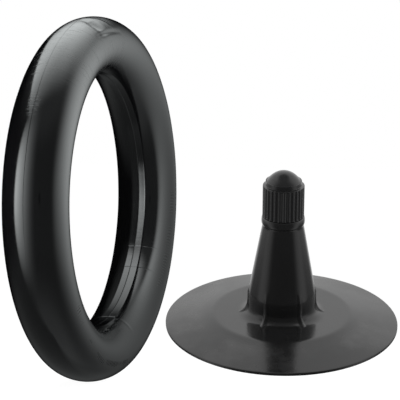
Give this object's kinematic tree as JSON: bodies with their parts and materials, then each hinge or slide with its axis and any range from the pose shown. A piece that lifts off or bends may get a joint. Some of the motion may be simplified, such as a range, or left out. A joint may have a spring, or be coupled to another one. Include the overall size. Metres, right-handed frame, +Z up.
{
  "type": "inner tube",
  "caption": "Inflated rubber inner tube for a road tyre, with a rubber-covered valve, screw cap and spring-loaded valve core.",
  "frame": {"origin": "centre of the ring, on its axis and in its middle plane", "axes": "+Y along the ring's axis, +Z up as the tube stands on its tread side, the valve on the -X side of the inner circumference pointing to +X"},
  "size_m": [0.6, 0.1048, 0.6],
  "materials": {
    "butyl": "glossy moulded",
    "stem_rubber": "satin moulded",
    "seal_rubber": "matt",
    "gasket": "smooth",
    "cap_plastic": "moulded",
    "brass": "turned",
    "spring_steel": "drawn wire"
  },
  "bodies": {
    "tube": {"tube_body": "butyl", "valve_rubber_body": "stem_rubber", "stem_insert": "brass"},
    "cap_seal": {"cap_seal": "seal_rubber"},
    "cap": {"cap_shell": "cap_plastic"},
    "core": {"core_barrel": "brass", "core_gasket": "gasket", "core_spring": "spring_steel"},
    "plug": {"core_plug": "brass"},
    "pin": {"core_pin": "brass", "core_seat_cup": "brass", "core_seat_washer": "seal_rubber"}
  },
  "joints": [
    {"name": "cap_lift", "type": "slide", "parent": "tube", "child": "cap_seal", "axis": [1, 0, 0], "range_m": [0, 0.00635]},
    {"name": "cap_turn", "type": "hinge", "parent": "cap_seal", "child": "cap", "pos_m": [-0.175, 0, 0], "axis": [1, 0, 0], "range_deg": [0, 2880]},
    {"name": "core_lift", "type": "slide", "parent": "tube", "child": "core", "axis": [1, 0, 0], "range_m": [0, 0.003]},
    {"name": "core_turn", "type": "hinge", "parent": "core", "child": "plug", "pos_m": [-0.175, 0, 0], "axis": [1, 0, 0], "range_deg": [0, 1530]},
    {"name": "pin_press", "type": "slide", "parent": "core", "child": "pin", "axis": [-1, 0, 0], "range_m": [0, 0.0013], "stiffness_N_per_m": 400, "springref_m": -0.003, "deforming": ["core_spring"]}
  ],
  "couplings": [
    {"joint": "cap_turn", "follows": "cap_lift", "rad_per_m": 7915.8},
    {"joint": "core_turn", "follows": "core_lift", "rad_per_m": 8905.2}
  ]
}
